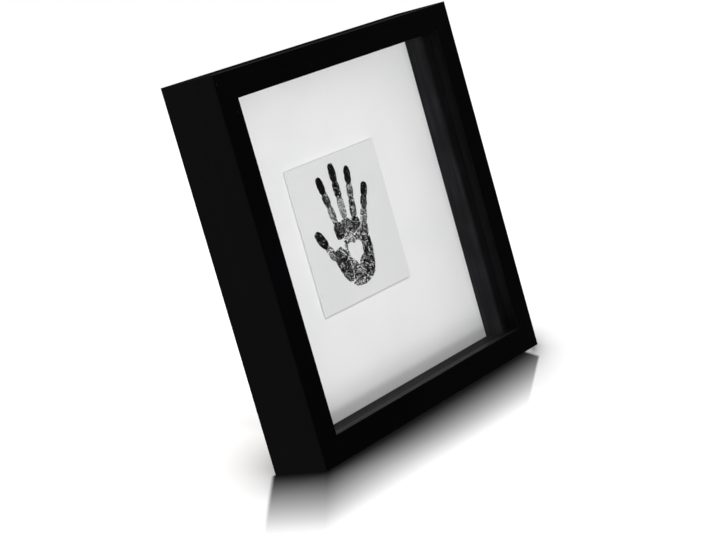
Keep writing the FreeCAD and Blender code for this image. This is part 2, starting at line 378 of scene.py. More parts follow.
roomLight = {
    "allRound": 0.38,
    "overhead": 0.05,
    "overheadPower": 3.0,
    "glossBelow": 0.045,
    "glossAbove": 1.0,
    "whiteFrom": (0.12, 0.04),
    "whiteFromEdge": (-0.3, 0.6),
    "whiteSoft": 0.1,
    "glossBehind": 0.3,
    "behindToward": (-0.6, 0.8, 0.0),
    "behindEdge": (0.4, 0.9),
    "backEdge": (0.3, 0.6),
    "darkCardToward": (0.74, 0.61, 0.28),
    "darkCardEdge": (0.75, 0.9),
    "darkCardShare": 0.015,
    "horizonEdge": (-0.03, 0.03),
}
lamps = {
    "sideLamp": {"place": (-2.0, -1.7, 0.45), "size": 1.4, "watts": 9.0},
    "highLamp": {"place": (-1.0, -3.4, 3.1), "size": 0.5, "watts": 80.0, "shadedBy": ["print_card"]},
    "lowLamp": {"place": (-0.5, -1.9, -0.45), "size": 1.4, "watts": 27.0, "shadedBy": list(nodes)},
}
floorSun = {"strength": 5.0, "angle": 100.0}


def aimAt(place, target):
    return (Vector(target) - Vector(place)).to_track_quat("-Z", "Y")


def makeRoom():
    look = roomLight
    world = bpy.data.worlds.new("room")
    scene.world = world
    world.use_nodes = True
    tree = world.node_tree
    tree.nodes.clear()
    direction = addNode(tree, "ShaderNodeTexCoord").outputs["Generated"]
    heading = splitVector(tree, direction)
    height = heading["Z"]
    path = addNode(tree, "ShaderNodeLightPath").outputs
    up = larger(tree, height, 0.0)
    overhead = calc(tree, "POWER", up, look["overheadPower"])
    matt = timesPlus(tree, overhead, look["overhead"], look["allRound"])
    toward = vectorCalc(tree, "DOT_PRODUCT", direction, look["behindToward"])
    behind = smooth(tree, toward, *look["behindEdge"])
    behind = larger(tree, behind, smooth(tree, heading["Y"], *look["backEdge"]))
    below = mixFloat(tree, behind, look["glossBelow"], look["glossBehind"])
    whiteFrom = smooth(tree, toward, *look["whiteFromEdge"], *look["whiteFrom"])
    rise = minus(tree, height, whiteFrom)
    above = smooth(tree, rise, 0.0, look["whiteSoft"])
    gloss = mixFloat(tree, above, below, look["glossAbove"])
    # a dark card stands behind the frame, where its top face mirrors the room
    card = vectorCalc(tree, "DOT_PRODUCT", direction, look["darkCardToward"])
    card = smooth(tree, card, *look["darkCardEdge"])
    card = times(tree, card, smooth(tree, height, *look["horizonEdge"]))
    card = timesPlus(tree, card, look["darkCardShare"] - 1.0, 1.0)
    gloss = times(tree, gloss, card)
    mirrored = larger(tree, path["Is Glossy Ray"], path["Is Transmission Ray"])
    unseen = mixFloat(tree, mirrored, matt, gloss)
    strength = mixFloat(tree, path["Is Camera Ray"], unseen, 1.0)
    white = (1.0, 1.0, 1.0, 1.0)
    light = addStep(tree, "ShaderNodeBackground", {"Color": white, "Strength": strength})
    addNode(tree, "ShaderNodeOutputWorld", {"Surface": light})


def makeLamp(name, look):
    lamp = bpy.data.lights.new(name, "AREA")
    lamp.size = look["size"]
    lamp.energy = look["watts"]
    holder = bpy.data.objects.new(name, lamp)
    scene.collection.objects.link(holder)
    holder.location = look["place"]
    holder.rotation_mode = "QUATERNION"
    holder.rotation_quaternion = aimAt(look["place"], (0, 0, fullHeight / 2))
    holder.visible_glossy = False      # so that no lamp shows in the glass
    holder.visible_transmission = False
    if "shadedBy" in look:
        casting = bpy.data.collections.new(name + "Shades")
        for blocker in look["shadedBy"]:
            casting.objects.link(nodes[blocker])
        holder.light_linking.blocker_collection = casting


def makeFloorSun():
    # keeps the floor white without lighting the frame
    sun = bpy.data.lights.new("floorSun", "SUN")
    sun.energy = floorSun["strength"]
    sun.angle = math.radians(floorSun["angle"])
    holder = bpy.data.objects.new("floorSun", sun)
    scene.collection.objects.link(holder)
    lit = bpy.data.collections.new("litByFloorSun")
    lit.objects.link(floor)
    holder.light_linking.receiver_collection = lit


makeRoom()
for name, look in lamps.items():
    makeLamp(name, look)
makeFloorSun()
print("floor and light made")


# Effects that several materials share

effectLook = {
    "streakDetail": 5.0,
    "streakRough": 0.65,
    "poreShrink": 3.1,
    "poreRange": (0.58, 0.70),
    "speckRange": (0.16, 0.08),
    "cloudDetail": 3.0,
    "cloudRough": 0.55,
    "cloudRange": (0.3, 0.7),
    "fibreDetail": 4.0,
    "fibreRough": 0.7,
    "padBluntness": 2.7,
    "padEdge": (-0.02, 0.16),
}


def makeEdgeBand():
    # 1 within Width of an edge of the box from Low to High
    tree, taken, given = newGroup(
        "edgeBand",
        {"Position": (0, 0, 0), "Low": (0, 0, 0), "High": (0, 0, 0), "Width": 1.0 * mm},
        ["Band"],
    )
    fromLow = vectorCalc(tree, "SUBTRACT", taken["Position"], taken["Low"])
    fromHigh = vectorCalc(tree, "SUBTRACT", taken["High"], taken["Position"])
    near = splitVector(tree, vectorCalc(tree, "MINIMUM", fromLow, fromHigh))
    least = calc(tree, "MINIMUM", near["X"], near["Y"])
    most = larger(tree, near["X"], near["Y"])
    second = larger(tree, least, calc(tree, "MINIMUM", most, near["Z"]))
    plug(tree, given["Band"], smooth(tree, second, taken["Width"], 0.0))
    return tree


def makeWoodGrain():
    # long streaks and short pores, along the axis that Stretch leaves small
    tree, taken, given = newGroup(
        "woodGrain", {"Position": (0, 0, 0), "Stretch": (1, 1, 1)}, ["Streak", "Pore"]
    )
    drawn = vectorCalc(tree, "MULTIPLY", taken["Position"], taken["Stretch"])
    streaks = noise(tree, drawn, 1.0, effectLook["streakDetail"], effectLook["streakRough"])
    plug(tree, given["Streak"], streaks)
    pores = noise(tree, vectorCalc(tree, "MULTIPLY", drawn, (effectLook["poreShrink"],) * 3), 1.0)
    plug(tree, given["Pore"], smooth(tree, pores, *effectLook["poreRange"]))
    return tree


def makeDustSpecks():
    # round specks in a share of the cells of a grid
    tree, taken, given = newGroup(
        "dustSpecks", {"Position": (0, 0, 0), "Density": 300.0, "Share": 0.1}, ["Speck"]
    )
    cells = addNode(tree, "ShaderNodeTexVoronoi", {"Vector": taken["Position"], "Scale": taken["Density"]})
    chance = addStep(tree, "ShaderNodeSeparateColor", {"Color": cells.outputs["Color"]})
    chosen = calc(tree, "LESS_THAN", chance, taken["Share"])
    dot = smooth(tree, cells.outputs["Distance"], *effectLook["speckRange"])
    plug(tree, given["Speck"], times(tree, dot, chosen))
    return tree


def makePaperSkin():
    # cloudy tone and the fine fibre of paper and board
    tree, taken, given = newGroup(
        "paperSkin",
        {"Position": (0, 0, 0), "Cloud Size": 45.0 * mm, "Fibre Size": 0.5 * mm},
        ["Cloud", "Fibre"],
    )
    look = effectLook
    scale = calc(tree, "DIVIDE", 1.0, taken["Cloud Size"])
    clouds = noise(tree, taken["Position"], scale, look["cloudDetail"], look["cloudRough"])
    plug(tree, given["Cloud"], smooth(tree, clouds, *look["cloudRange"]))
    scale = calc(tree, "DIVIDE", 1.0, taken["Fibre Size"])
    fibres = noise(tree, taken["Position"], scale, look["fibreDetail"], look["fibreRough"])
    plug(tree, given["Fibre"], fibres)
    return tree


def makePrintPad():
    # how much ink one oval pad of skin leaves on the paper
    tree, taken, given = newGroup(
        "printPad",
        {"Position": (0, 0, 0), "Centre": (0, 0, 0), "Turn": (0, 0, 0), "Reach": (1, 1, 1), "Press": 1.0},
        ["Ink"],
    )
    local = measured(tree, taken["Position"], taken["Centre"], taken["Turn"], taken["Reach"])
    bluntness = effectLook["padBluntness"]
    sides = splitVector(tree, vectorCalc(tree, "ABSOLUTE", local))
    powers = [calc(tree, "POWER", sides[axis], bluntness) for axis in ("X", "Y")]
    far = calc(tree, "POWER", calc(tree, "ADD", *powers), 1 / bluntness)
    laid = smooth(tree, minus(tree, 1.0, far), *effectLook["padEdge"])
    plug(tree, given["Ink"], times(tree, laid, taken["Press"]))
    return tree


edgeBand = makeEdgeBand()
woodGrain = makeWoodGrain()
dustSpecks = makeDustSpecks()
paperSkin = makePaperSkin()
printPad = makePrintPad()


def boxEdges(tree, place, box, width):
    plugs = {"Position": place, "Low": tuple(box[0]), "High": tuple(box[1]), "Width": width}
    return useGroup(tree, edgeBand, plugs)["Band"]


def fibreRough(tree, skin, low, high):
    # rougher where the fibre of paper or board stands out
    return smooth(tree, skin["Fibre"], *effectLook["cloudRange"], low, high)


# Moulding: black satin lacquer over pale wood, bare at the back and inside the rebate

lacquerLook = {
    "black": (0.0006, 0.0006, 0.0008, 1.0),
    "blackCloud": (0.0009, 0.00095, 0.0013, 1.0),
    "wornArris": (0.011, 0.011, 0.012, 1.0),
    "arrisWidth": 0.35 * mm,
    "paleWood": paint(222, 192, 148),
    "darkWood": paint(196, 158, 112),
    "poreWood": paint(104, 74, 44),
    "poreShare": 0.6,
    "streakRange": (0.3, 0.7),
    "grainAcross": 420.0,
    "grainAlong": 7.0,
    "oversprayWidth": 1.3 * mm,
    "oversprayRagged": 1.3 * mm,
    "oversprayScale": 330.0,
    "oversprayMiddle": 0.42,
    "oversprayFade": (-0.4 * mm, 0.9 * mm),
    "backSkin": 0.2 * mm,
    "mitreSlant": 0.3,
    "rebateFrom": 11.9 * mm,
    "lipBack": 9.6 * mm,
    "lipInner": 19.6 * mm,
    "lipRough": 0.3,
    "seamWidth": 0.16 * mm,
    "cloudScale": 9.0,
    "cloudRange": (0.42, 0.68),
    "speckDensity": 160.0,
    "speckChance": 0.03,
    "speckShare": 0.5,
    "satinRange": (0.25, 0.75),
    "satin": (0.19, 0.27),
    "woodRough": 0.78,
    "peelScale": 1100.0,
    "heights": {"grain": 0.6, "peel": 0.25, "pore": 0.5, "seam": 1.2},
    "specular": 0.12,
    "bump": (0.25, 0.12 * mm),
}


def makeLacquer(name, alongZ):
    material, tree = newMaterial(name)
    look = lacquerLook
    place = objectPlace(tree)
    parts = splitVector(tree, place)
    grainX = look["grainAcross"] if alongZ else look["grainAlong"]
    grainZ = look["grainAlong"] if alongZ else look["grainAcross"]
    stretch = (grainX, look["grainAcross"], grainZ)
    grain = useGroup(tree, woodGrain, {"Position": place, "Stretch": stretch})

    # distance in from the outer sides and ends, seen from the front
    fromSide = minus(tree, halfWidth, calc(tree, "ABSOLUTE", parts["X"]))
    fromEnd = calc(tree, "MINIMUM", parts["Z"], minus(tree, fullHeight, parts["Z"]))
    inward = calc(tree, "MINIMUM", fromSide, fromEnd)
    seam = smooth(tree, apart(tree, fromSide, fromEnd), look["seamWidth"], 0.0)

    # where no lacquer reached: back face, rebate and the mitred ends
    ragged = noise(tree, place, look["oversprayScale"], raggedDetail)
    ragged = minus(tree, ragged, look["oversprayMiddle"])
    sprayed = timesPlus(tree, ragged, look["oversprayRagged"], look["oversprayWidth"])
    bareBack = calc(tree, "GREATER_THAN", parts["Y"], backY - look["backSkin"])
    past = minus(tree, inward, sprayed)
    bareBack = times(tree, bareBack, smooth(tree, past, *look["oversprayFade"]))
    inRebate = calc(tree, "GREATER_THAN", inward, look["rebateFrom"])
    behindLip = calc(tree, "GREATER_THAN", parts["Y"], frontY + look["lipBack"])
    inRebate = times(tree, inRebate, behindLip)
    facing = splitVector(tree, objectNormal(tree))
    slanted = calc(tree, "ABSOLUTE", times(tree, facing["X"], facing["Z"]))
    bare = larger(tree, bareBack, inRebate)
    bare = larger(tree, bare, calc(tree, "GREATER_THAN", slanted, look["mitreSlant"]))

    clouds = smooth(tree, noise(tree, place, look["cloudScale"], raggedDetail), *look["cloudRange"])
    black = mixColor(tree, clouds, look["black"], look["blackCloud"])
    outer = (Vector((-halfWidth, frontY, 0)), Vector((halfWidth, backY, fullHeight)))
    black = mixColor(tree, boxEdges(tree, place, outer, look["arrisWidth"]), black, look["wornArris"])
    dust = {"Position": place, "Density": look["speckDensity"], "Share": look["speckChance"]}
    specks = times(tree, useGroup(tree, dustSpecks, dust)["Speck"], look["speckShare"])
    black = mixColor(tree, specks, black, look["wornArris"])
    streaks = smooth(tree, grain["Streak"], *look["streakRange"])
    wood = mixColor(tree, streaks, look["paleWood"], look["darkWood"])
    wood = mixColor(tree, times(tree, grain["Pore"], look["poreShare"]), wood, look["poreWood"])

    satin = smooth(tree, grain["Streak"], *look["satinRange"], *look["satin"])
    inLip = calc(tree, "GREATER_THAN", inward, look["lipInner"])
    satin = timesPlus(tree, inLip, look["lipRough"], satin)
    high = look["heights"]
    height = times(tree, noise(tree, place, look["peelScale"]), high["peel"])
    height = timesPlus(tree, grain["Streak"], high["grain"], height)
    pores = times(tree, grain["Pore"], times(tree, bare, high["pore"]))
    height = minus(tree, height, pores)
    height = minus(tree, height, times(tree, seam, high["seam"]))
    dress(tree, {
        "Base Color": mixColor(tree, bare, black, wood),
        "Roughness": mixFloat(tree, bare, satin, look["woodRough"]),
        "Specular IOR Level": look["specular"],
        "Normal": bump(tree, height, *look["bump"]),
    })
    return material


# Glass: clear float glass with a few faint smears

glassLook = {
    "clear": (0.988, 0.990, 0.989, 1.0),
    "ior": 1.5,
    "smearScale": 14.0,
    "smearDetail": 4.0,
    "smearGrain": 0.6,
    "smearRange": (0.60, 0.75),
    "smearRough": 0.03,
}


def makeGlass():
    material, tree = newMaterial("clearGlass")
    look = glassLook
    smears = noise(tree, objectPlace(tree), look["smearScale"], look["smearDetail"], look["smearGrain"])
    pane = principled(tree, {
        "Base Color": look["clear"],
        "Roughness": smooth(tree, smears, *look["smearRange"], 0.0, look["smearRough"]),
        "IOR": look["ior"],
        "Transmission Weight": 1.0,
    })
    # lamplight goes straight through, so that the pane casts no shadow into the box
    unbent = addStep(tree, "ShaderNodeBsdfTransparent", {"Color": look["clear"]})
    path = addNode(tree, "ShaderNodeLightPath").outputs
    through = larger(tree, path["Is Shadow Ray"], path["Is Diffuse Ray"])
    surface(tree, addStep(tree, "ShaderNodeMixShader", {0: through, 1: pane, 2: unbent}))
    return material


# Spacers: black wrapped board with rub marks along its length

spacerLook = {
    "black": (0.0022, 0.0022, 0.0029, 1.0),
    "rubbed": (0.0110, 0.0113, 0.0130, 1.0),
    "cutEdge": (0.020, 0.0195, 0.0185, 1.0),
    "cutWidth": 0.3 * mm,
    "cutShare": 0.5,
    "rubAcross": 160.0,
    "rubAlong": 9.0,
    "rubShare": 0.6,
    "cloudScale": 26.0,
    "rubRange": (0.40, 0.66),
    "roughRange": (0.35, 0.7),
    "rough": (0.5, 0.66),
    # painted shade and light: how far the strips' colour is scaled down towards the front and up towards
    # the back
    "paintedShadeFrom": -2.5 * mm,
    "paintedShadeTo": -6.5 * mm,
    "paintedShade": (0.35, 0.35, 0.38, 1.0),
    "paintedLight": (1.8, 1.8, 1.8, 1.0),
    "specular": 0.05,
    "weaveScale": 1500.0,
    "bump": (0.2, 0.1 * mm),
}


def makeSpacer(name, box, upright):
    material, tree = newMaterial(name)
    look = spacerLook
    place = objectPlace(tree)
    ends = (look["rubAcross"], look["rubAlong"])
    stretch = (ends[0], ends[0], ends[1]) if upright else (ends[1], ends[0], ends[0])
    rubs = useGroup(tree, woodGrain, {"Position": place, "Stretch": stretch})["Streak"]
    clouds = times(tree, noise(tree, place, look["cloudScale"], raggedDetail), 1.0 - look["rubShare"])
    both = timesPlus(tree, rubs, look["rubShare"], clouds)
    color = mixColor(tree, smooth(tree, both, *look["rubRange"]), look["black"], look["rubbed"])
    # painted shade and light: the upright strips are drawn darker towards the front and lighter towards
    # the back by the board, so their rub marks show most there, and the level strips are darker all over
    paintedShade = 1.0
    if upright:
        paintedShade = smooth(tree, splitVector(tree, place)["Y"], look["paintedShadeFrom"], look["paintedShadeTo"])
    color = mixColor(tree, 1.0, color, mixColor(tree, paintedShade, look["paintedLight"], look["paintedShade"]), "MULTIPLY")
    edges = times(tree, boxEdges(tree, place, box, look["cutWidth"]), look["cutShare"])
    dress(tree, {
        "Base Color": mixColor(tree, edges, color, look["cutEdge"]),
        "Roughness": smooth(tree, both, *look["roughRange"], *look["rough"]),
        "Specular IOR Level": look["specular"],
        "Normal": bump(tree, noise(tree, place, look["weaveScale"], raggedDetail), *look["bump"]),
    })
    return material


# Boards and paper

boardLook = {
    "white": (0.872, 0.874, 0.868, 1.0),
    "whiteCloud": (0.838, 0.842, 0.840, 1.0),
    "core": (0.80, 0.79, 0.76, 1.0),
    "fleckRange": (0.62, 0.8),
    "fleckShare": 0.12,
    "footShade": 0.23,
    "footFrom": 27.5 * mm,
    "footTo": 21 * mm,
    "footEnd": 15 * mm,
    "footEndShare": 0.5,
    "cardShade": 0.32,
    "cardShadeReach": 2.2 * mm,
    "cardShadeEdge": 1.0 * mm,
    "rough": (0.72, 0.86),
    "specular": 0.3,
    "bump": (0.25, 0.06 * mm),
}


def makeMountBoard():
    material, tree = newMaterial("whiteMountBoard")
    look = boardLook
    place = objectPlace(tree)
    skin = useGroup(tree, paperSkin, {"Position": place})
    color = mixColor(tree, skin["Cloud"], look["white"], look["whiteCloud"])
    flecks = smooth(tree, skin["Fibre"], *look["fleckRange"], 0.0, look["fleckShare"])
    color = mixColor(tree, flecks, color, look["core"])

    # painted shade: greyer along the foot of the board, and a painted shadow right under the card
    parts = splitVector(tree, place)
    foot = smooth(tree, parts["Z"], look["footFrom"], look["footTo"], 0.0, look["footShade"])
    end = smooth(tree, parts["Z"], look["footEnd"], look["footTo"], look["footEndShare"], 1.0)
    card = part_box("print_card")
    middle = (card[0] + card[1]) / 2
    half = (card[1].x - card[0].x) / 2
    under = smooth(tree, apart(tree, parts["X"], middle.x), half, half - look["cardShadeEdge"])
    under = times(tree, under, calc(tree, "LESS_THAN", parts["Z"], middle.z))
    fall = smooth(tree, parts["Z"], card[0].z - look["cardShadeReach"], card[0].z, 0.0, look["cardShade"])
    grey = timesPlus(tree, foot, end, times(tree, under, fall))
    dress(tree, {
        "Base Color": mixColor(tree, grey, color, (0.0, 0.0, 0.0, 1.0)),
        "Roughness": fibreRough(tree, skin, *look["rough"]),
        "Specular IOR Level": look["specular"],
        "Normal": bump(tree, skin["Fibre"], *look["bump"]),
    })
    return material


# The print: pads of one hand, thumb to the left, with a small heart left open in the palm
# Places and sizes are in millimetres from the card's middle, turns in degrees.

handLook = {
    "shift": (0.0, -0.5),
    "tilt": -3.0,
    "wobble": {"scale": 0.35, "reach": 1.6},
    "fingers": {
        "index": {"root": (-14.5, 5.5), "lean": 14, "size": (8.4, 36.0), "press": (0.70, 0.84, 1.12)},
        "middle": {"root": (-3.5, 8.0), "lean": 3, "size": (8.8, 40.0), "press": (0.66, 0.94, 1.06)},
        "ring": {"root": (7.5, 6.0), "lean": -7, "size": (8.4, 37.0), "press": (0.80, 0.74, 1.12)},
        "little": {"root": (16.5, -1.0), "lean": -22, "size": (8.6, 31.0), "press": (0.72, 0.88, 1.02)},
    },
    "boneShares": (0.38, 0.30, 0.32),
    "padOverlap": 1.28,
    "pads": {
        "thumbTip": ((-35.0, -3.0), 38, (4.8, 8.8), 1.0),
        "thumbRoot": ((-27.8, -13.8), 34, (4.2, 7.6), 0.70),
        "thumbMound": ((-15.0, -25.5), 27, (8.6, 15.5), 0.86),
        "heel": ((12.5, -24.5), -9, (8.0, 17.5), 0.84),
        "wrist": ((-0.5, -38.5), 0, (12.0, 6.0), 0.74),
        "indexKnuckle": ((-13.0, -0.5), 8, (6.4, 7.0), 0.90),
        "middleKnuckle": ((-3.2, 1.6), 2, (6.2, 6.6), 0.76),
        "ringKnuckle": ((6.8, 0.4), -6, (6.2, 6.6), 0.86),
        "littleKnuckle": ((14.8, -5.6), -18, (5.8, 7.4), 0.78),
        "hollow": ((0.0, -18.5), 4, (12.5, 17.0), 0.70),
    },
    "creases": {
        "thumbFold": ((-26.0, -30.0), 18.0, 0.34),
        "topFold": ((-8.0, 26.0), 34.0, 0.30),
    },
    "creaseWidths": (0.4, 2.2),
    "creaseInk": 0.62,
    "creaseRise": (1.0, 5.0),
    "heart": {"centre": (0.5, -20.5), "size": 6.8, "lobes": 2.0, "edge": (-0.03, 0.09)},
}
inkLook = {
    "black": (0.0004, 0.0004, 0.0005, 1.0),
    "rough": 0.8,
    "height": 0.5,
    "patchScale": 0.30,
    "patchShare": 0.9,
    "grainScale": 0.95,
    "grainRough": 0.6,
    "ridgeScale": 0.55,
    "ridgeWaver": 9.0,
    "ridgeShare": 0.05,
    "fadeRange": (0.02, 0.3),
    "bareLimit": 0.26,
    "inkLimit": 0.42,
    "grainEdge": (-0.015, 0.03),
    "rimRange": (0.0, 0.12),
}
cardLook = {
    "paper": (0.765, 0.767, 0.765, 1.0),
    "paperCloud": (0.742, 0.745, 0.746, 1.0),
    "cloudSize": 60.0 * mm,
    "edge": (0.86, 0.86, 0.86, 1.0),
    "edgeWidth": 0.5 * mm,
    "cutSide": (0.97, 0.97, 0.97, 1.0),
    "rough": 0.62,
    "specular": 0.3,
    "bump": (0.2, 0.05 * mm),
}


def fingerPads():
    pads = []
    for finger in handLook["fingers"].values():
        lean = math.radians(finger["lean"])
        along = Vector((-math.sin(lean), math.cos(lean)))
        at = Vector(finger["root"])
        width, length = finger["size"]
        for share, press in zip(handLook["boneShares"], finger["press"]):
            reach = length * share / 2
            at = at + along * reach
            pads.append((tuple(at), finger["lean"], (width / 2, reach * handLook["padOverlap"]), press))
            at = at + along * reach
    return pads


def handMask(tree, sheet):
    # how much ink the pads of the hand lay down, before the paper's grain thins it
    wobble = handLook["wobble"]
    shift = noise(tree, sheet, wobble["scale"], raggedDetail)
    shift = timesPlus(tree, shift, wobble["reach"], -wobble["reach"] / 2)
    shaken = vectorCalc(tree, "ADD", sheet, joinVector(tree, shift))
    laid = None
    for centre, lean, reach, press in fingerPads() + list(handLook["pads"].values()):
        ink = useGroup(tree, printPad, {
            "Position": shaken,
            "Centre": (*centre, 0.0),
            "Turn": (0, 0, math.radians(lean)),
            "Reach": (*reach, 1.0),
            "Press": press,
        })["Ink"]
        laid = ink if laid is None else larger(tree, laid, ink)

    aboveFolds = smooth(tree, splitVector(tree, shaken)["Y"], *handLook["creaseRise"])
    inner, outer = handLook["creaseWidths"]
    for centre, radius, width in handLook["creases"].values():
        off = apart(tree, vectorCalc(tree, "DISTANCE", shaken, (*centre, 0.0)), radius)
        crease = smooth(tree, off, width * inner, width * outer, handLook["creaseInk"], 1.0)
        laid = times(tree, laid, larger(tree, crease, aboveFolds))

    # the heart is the curve (x2 + y2 - 1)3 = lobes x2 y3
    heart = handLook["heart"]
    unit = (heart["size"], heart["size"], 1.0)
    spot = splitVector(tree, measured(tree, shaken, (*heart["centre"], 0.0), (0, 0, 0), unit))
    wideSquare = times(tree, spot["X"], spot["X"])
    tallSquare = times(tree, spot["Y"], spot["Y"])
    ring = minus(tree, calc(tree, "ADD", wideSquare, tallSquare), 1.0)
    cube = times(tree, ring, times(tree, ring, ring))
    lobes = times(tree, wideSquare, times(tree, tallSquare, spot["Y"]))
    outside = minus(tree, cube, times(tree, lobes, heart["lobes"]))
    return times(tree, laid, smooth(tree, outside, *heart["edge"]))


def inkMask(tree, sheet):
    # skin and paper take the ink in grains and patches
    look = inkLook
    laid = handMask(tree, sheet)
    patches = noise(tree, sheet, look["patchScale"])
    grains = noise(tree, sheet, look["grainScale"], roughness=look["grainRough"])
    waves = {"Vector": sheet, "Scale": look["ridgeScale"], "Distortion": look["ridgeWaver"]}
    ridges = addNode(tree, "ShaderNodeTexWave", waves).outputs[1]
    full = timesPlus(tree, minus(tree, patches, 0.5), look["patchShare"], laid)
    full = times(tree, full, smooth(tree, laid, *look["fadeRange"]))
    limit = timesPlus(tree, full, look["inkLimit"], look["bareLimit"])
    limit = timesPlus(tree, minus(tree, ridges, 0.5), look["ridgeShare"], limit)
    inked = smooth(tree, minus(tree, limit, grains), *look["grainEdge"])
    return times(tree, inked, smooth(tree, laid, *look["rimRange"]))


def makePrintCard():
    material, tree = newMaterial("printedCard")
    look = cardLook
    place = objectPlace(tree)
    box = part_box("print_card")
    middle = (box[0] + box[1]) / 2
    parts = splitVector(tree, place)
    across = minus(tree, parts["X"], middle.x + handLook["shift"][0] * mm)
    rise = minus(tree, parts["Z"], middle.z + handLook["shift"][1] * mm)
    turn = (0, 0, math.radians(handLook["tilt"]))
    sheet = measured(tree, joinVector(tree, across, rise), (0, 0, 0), turn, (mm, mm, mm))
    facing = splitVector(tree, objectNormal(tree))["Y"]
    front = calc(tree, "LESS_THAN", facing, -faceOn)
    inked = times(tree, inkMask(tree, sheet), front)

    skin = useGroup(tree, paperSkin, {"Position": place, "Cloud Size": look["cloudSize"]})
    paper = mixColor(tree, skin["Cloud"], look["paper"], look["paperCloud"])
    # painted highlight: a lighter band along the edges of the faces, where the cut sides catch the light
    paper = mixColor(tree, boxEdges(tree, place, box, look["edgeWidth"]), paper, look["edge"])
    # the cut sides are whiter: the card's white core, and partly painted light where the lamps reach them
    # little
    paper = mixColor(tree, cutSides(tree), paper, look["cutSide"])
    height = timesPlus(tree, inked, inkLook["height"], skin["Fibre"])
    dress(tree, {
        "Base Color": mixColor(tree, inked, paper, inkLook["black"]),
        "Roughness": mixFloat(tree, inked, look["rough"], inkLook["rough"]),
        "Specular IOR Level": smooth(tree, inked, 0.0, 1.0, look["specular"], 0.0),
        "Normal": bump(tree, height, *look["bump"]),
    })
    return material


# Layers behind the mount board

foamLook = {
    "paper": (0.80, 0.80, 0.79, 1.0),
    "paperCloud": (0.74, 0.74, 0.73, 1.0),
    "cellWall": (0.70, 0.70, 0.68, 1.0),
    "cell": (0.88, 0.88, 0.86, 1.0),
    "cellScale": 2600.0,
    "rough": (0.65, 0.85),
    "bump": (0.3, 0.1 * mm),
}
kraftLook = {
    "brown": paint(178, 138, 94),
    "brownCloud": paint(160, 121, 80),
    "strand": paint(121, 88, 55),
    "strandShare": 0.5,
    "strandStretch": (500.0, 500.0, 60.0),
    "cloudSize": 20.0 * mm,
    "fibreSize": 0.8 * mm,
    "rough": (0.75, 0.9),
    "bump": (0.35, 0.08 * mm),
}
panelLook = {
    "fibre": paint(205, 168, 126),
    "fibreDark": paint(197, 159, 117),
    "darkRange": (0.45, 0.75),
    "darkShare": 0.55,
    "fleck": paint(150, 112, 76),
    "fleckShare": 0.55,
    "fleckStretch": (700.0, 700.0, 330.0),
    "edge": paint(164, 124, 86),
    "edgeWidth": 0.8 * mm,
    "edgeShare": 0.7,
    "cloudSize": 34.0 * mm,
    "fibreSize": 0.7 * mm,
    "rough": (0.6, 0.82),
    "specular": 0.35,
    "bump": (0.3, 0.1 * mm),
}


def cellPattern(tree, scale):
    plugs = {"Vector": objectPlace(tree), "Scale": scale}
    return addNode(tree, "ShaderNodeTexVoronoi", plugs).outputs


def makeFoamBoard():
    # paper faces over a foam core that shows at the cut edges
    material, tree = newMaterial("foamBoard")
    look = foamLook
    skin = useGroup(tree, paperSkin, {"Position": objectPlace(tree)})
    cut = cutSides(tree)
    cells = cellPattern(tree, look["cellScale"])["Distance"]
    paper = mixColor(tree, skin["Cloud"], look["paper"], look["paperCloud"])
    foam = mixColor(tree, cells, look["cellWall"], look["cell"])
    dress(tree, {
        "Base Color": mixColor(tree, cut, paper, foam),
        "Roughness": fibreRough(tree, skin, *look["rough"]),
        "Normal": bump(tree, mixFloat(tree, cut, skin["Fibre"], cells), *look["bump"]),
    })
    return material


def sheetSkin(tree, look):
    sizes = {"Cloud Size": look["cloudSize"], "Fibre Size": look["fibreSize"]}
    return useGroup(tree, paperSkin, {"Position": objectPlace(tree), **sizes})


def strandMask(tree, stretch, share):
    strands = useGroup(tree, woodGrain, {"Position": objectPlace(tree), "Stretch": stretch})
    return times(tree, strands["Pore"], share)


def makeKraft():
    material, tree = newMaterial("brownKraft")
    look = kraftLook
    skin = sheetSkin(tree, look)
    color = mixColor(tree, skin["Cloud"], look["brown"], look["brownCloud"])
    strands = strandMask(tree, look["strandStretch"], look["strandShare"])
    dress(tree, {
        "Base Color": mixColor(tree, strands, color, look["strand"]),
        "Roughness": fibreRough(tree, skin, *look["rough"]),
        "Normal": bump(tree, skin["Fibre"], *look["bump"]),
    })
    return material


def makeFibreboard():
    material, tree = newMaterial("bareFibreboard")
    look = panelLook
    skin = sheetSkin(tree, look)
    color = mixColor(tree, skin["Cloud"], look["fibre"], look["fibreDark"])
    dark = smooth(tree, skin["Fibre"], *look["darkRange"], 0.0, look["darkShare"])
    color = mixColor(tree, dark, color, look["fibreDark"])
    flecks = strandMask(tree, look["fleckStretch"], look["fleckShare"])
    color = mixColor(tree, flecks, color, look["fleck"])
    edges = boxEdges(tree, objectPlace(tree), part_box("back_panel"), look["edgeWidth"])
    dress(tree, {
        "Base Color": mixColor(tree, times(tree, edges, look["edgeShare"]), color, look["edge"]),
        "Roughness": fibreRough(tree, skin, *look["rough"]),
        "Specular IOR Level": look["specular"],
        "Normal": bump(tree, skin["Fibre"], *look["bump"]),
    })
    return material


# Small hardware

